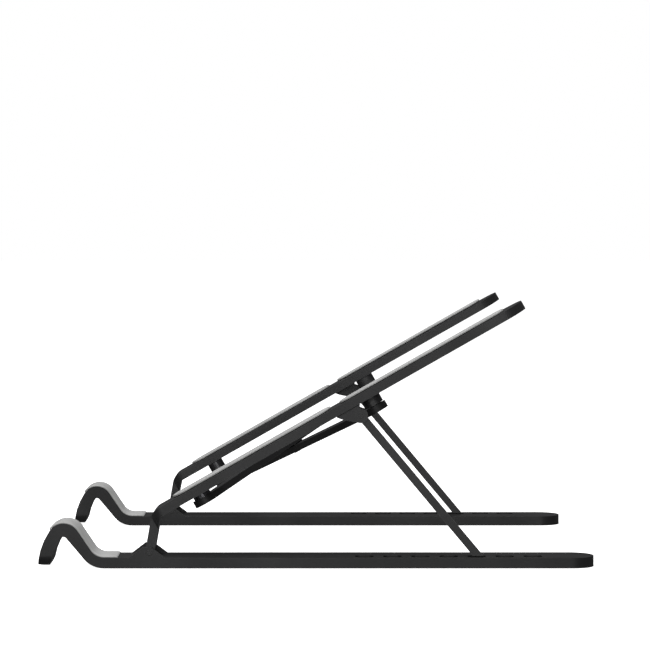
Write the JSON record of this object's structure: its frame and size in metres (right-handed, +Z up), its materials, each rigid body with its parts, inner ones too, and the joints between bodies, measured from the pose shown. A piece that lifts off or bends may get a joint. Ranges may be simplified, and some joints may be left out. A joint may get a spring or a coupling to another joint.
{
  "type": "laptop stand",
  "caption": "Folding laptop stand: slotted base rails with front hooks, tilting support arms on struts, and scissor cross links between the arms.",
  "frame": {"origin": "on the surface the stand rests on, under the middle of its outline", "axes": "+X from the hooks at the front to the rails' round ends at the back, +Y to the user's left, +Z up"},
  "size_m": [0.2634, 0.202, 0.1263],
  "materials": {
    "black_metal": "black anodised, satin",
    "steel": "black-oxide steel, rubbed bright at the edges",
    "silicone": "matt light grey silicone strip",
    "foot_rubber": "matt black rubber",
    "black_plastic": "moulded black plastic, fine grain"
  },
  "bodies": {
    "right_base": {"right_base_rail": "black_metal", "right_hook_pad": "silicone", "right_foot_pad_front": "foot_rubber", "right_foot_pad_rear": "foot_rubber", "right_hinge_pin": "steel"},
    "right_arm": {"right_support_arm": "black_metal", "right_arm_pad_front": "silicone", "right_arm_pad_rear": "silicone", "right_strut_bracket": "black_metal", "right_strut_pin": "steel", "right_front_rivet": "steel", "right_front_washer": "steel"},
    "right_strut": {"right_strut": "black_metal"},
    "right_slider": {"right_slider": "black_plastic"},
    "left_base": {"left_base_rail": "black_metal", "left_hook_pad": "silicone", "left_foot_pad_front": "foot_rubber", "left_foot_pad_rear": "foot_rubber", "left_hinge_pin": "steel"},
    "left_arm": {"left_support_arm": "black_metal", "left_arm_pad_front": "silicone", "left_arm_pad_rear": "silicone", "left_strut_bracket": "black_metal", "left_strut_pin": "steel", "left_front_post": "steel"},
    "left_strut": {"left_strut": "black_metal"},
    "left_slider": {"left_slider": "black_plastic"},
    "upper_link": {"upper_cross_link": "black_metal", "left_rear_rivet": "steel", "centre_rivet": "steel", "centre_washer": "black_plastic"},
    "lower_link": {"lower_cross_link": "black_metal", "right_rear_rivet": "steel", "left_front_rivet": "steel"}
  },
  "joints": [
    {"name": "right_arm_tilt", "type": "hinge", "parent": "right_base", "child": "right_arm", "pos_m": [-0.07905, -0.09, 0.0076], "axis": [0, 1, 0], "range_deg": [-11, 29.5]},
    {"name": "right_strut_fold", "type": "hinge", "parent": "right_arm", "child": "right_strut", "pos_m": [0.02057, -0.0947, 0.07234], "axis": [0, 1, 0], "range_deg": [-80.5, 30]},
    {"name": "right_slider_travel", "type": "slide", "parent": "right_arm", "child": "right_slider", "axis": [0.8691, 0, 0.4945], "range_m": [0, 0.073]},
    {"name": "left_arm_tilt", "type": "hinge", "parent": "left_base", "child": "left_arm", "pos_m": [-0.07905, 0.09, 0.0076], "axis": [0, 1, 0], "range_deg": [-11, 29.5]},
    {"name": "left_strut_fold", "type": "hinge", "parent": "left_arm", "child": "left_strut", "pos_m": [0.02057, 0.0947, 0.07234], "axis": [0, 1, 0], "range_deg": [-80.5, 30]},
    {"name": "left_slider_travel", "type": "slide", "parent": "left_arm", "child": "left_slider", "axis": [0.8691, 0, 0.4945], "range_m": [0, 0.073]},
    {"name": "width_fold", "type": "slide", "parent": "right_base", "child": "left_base", "axis": [0, 1, 0], "range_m": [-0.0706, 0]},
    {"name": "upper_link_turn", "type": "hinge", "parent": "right_arm", "child": "upper_link", "pos_m": [-0.0536, -0.083, 0.03082], "axis": [-0.4945, 0, 0.8691], "range_deg": [-31.5, 0]},
    {"name": "lower_link_turn", "type": "hinge", "parent": "upper_link", "child": "lower_link", "pos_m": [-0.01264, 0, 0.05275], "axis": [-0.4945, 0, 0.8691], "range_deg": [0, 63]}
  ],
  "couplings": [
    {"joint": "left_arm_tilt", "follows": "right_arm_tilt", "ratio": 1},
    {"joint": "right_strut_fold", "follows": "right_arm_tilt", "ratio": -2.72},
    {"joint": "left_strut_fold", "follows": "right_arm_tilt", "ratio": -2.72},
    {"joint": "upper_link_turn", "follows": "width_fold", "rad_per_m": 7.5814},
    {"joint": "lower_link_turn", "follows": "width_fold", "rad_per_m": -15.163},
    {"joint": "right_slider_travel", "follows": "width_fold", "ratio": -1.0152},
    {"joint": "left_slider_travel", "follows": "width_fold", "ratio": -1.0152}
  ]
}
